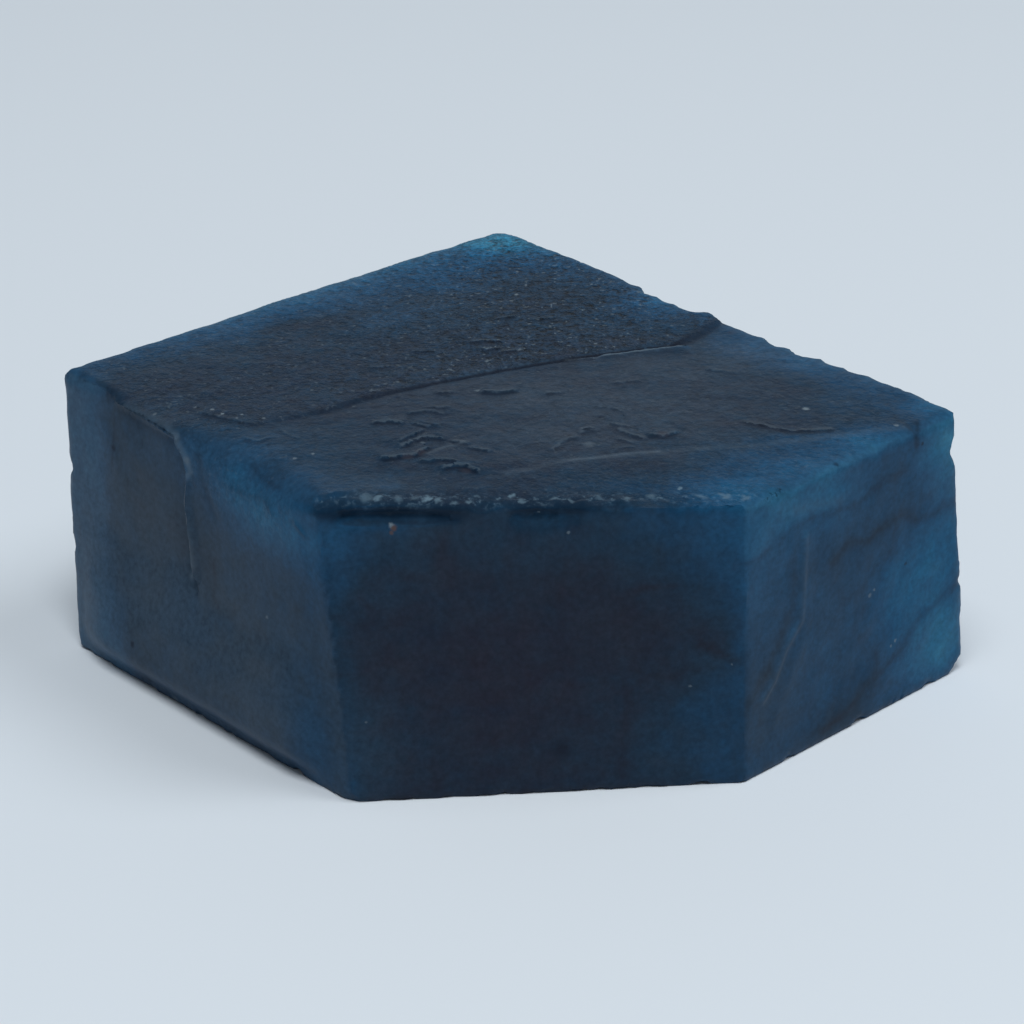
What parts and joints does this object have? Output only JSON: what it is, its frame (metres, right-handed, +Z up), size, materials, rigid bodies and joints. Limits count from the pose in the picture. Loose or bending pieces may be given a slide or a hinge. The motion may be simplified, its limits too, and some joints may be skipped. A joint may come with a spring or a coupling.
{
  "type": "rough aquamarine",
  "caption": "Rough aquamarine: a sawn five-sided block of cloudy dark blue beryl with square corners, a sawn-off front corner, a crack across its top and chipped edges.",
  "frame": {"origin": "middle of the footprint's bounding box, on the sawn base", "axes": "+X along the long diagonal, towards the east corner; +Y from the sawn-off front wall towards the back corner; +Z up from the base"},
  "size_m": [0.0602, 0.049, 0.0202],
  "materials": {
    "aquamarine_stone": "cloudy translucent deep blue beryl, sawn and fractured, matte to satin"
  },
  "bodies": {
    "root": {"aquamarine": "aquamarine_stone"}
  },
  "joints": []
}
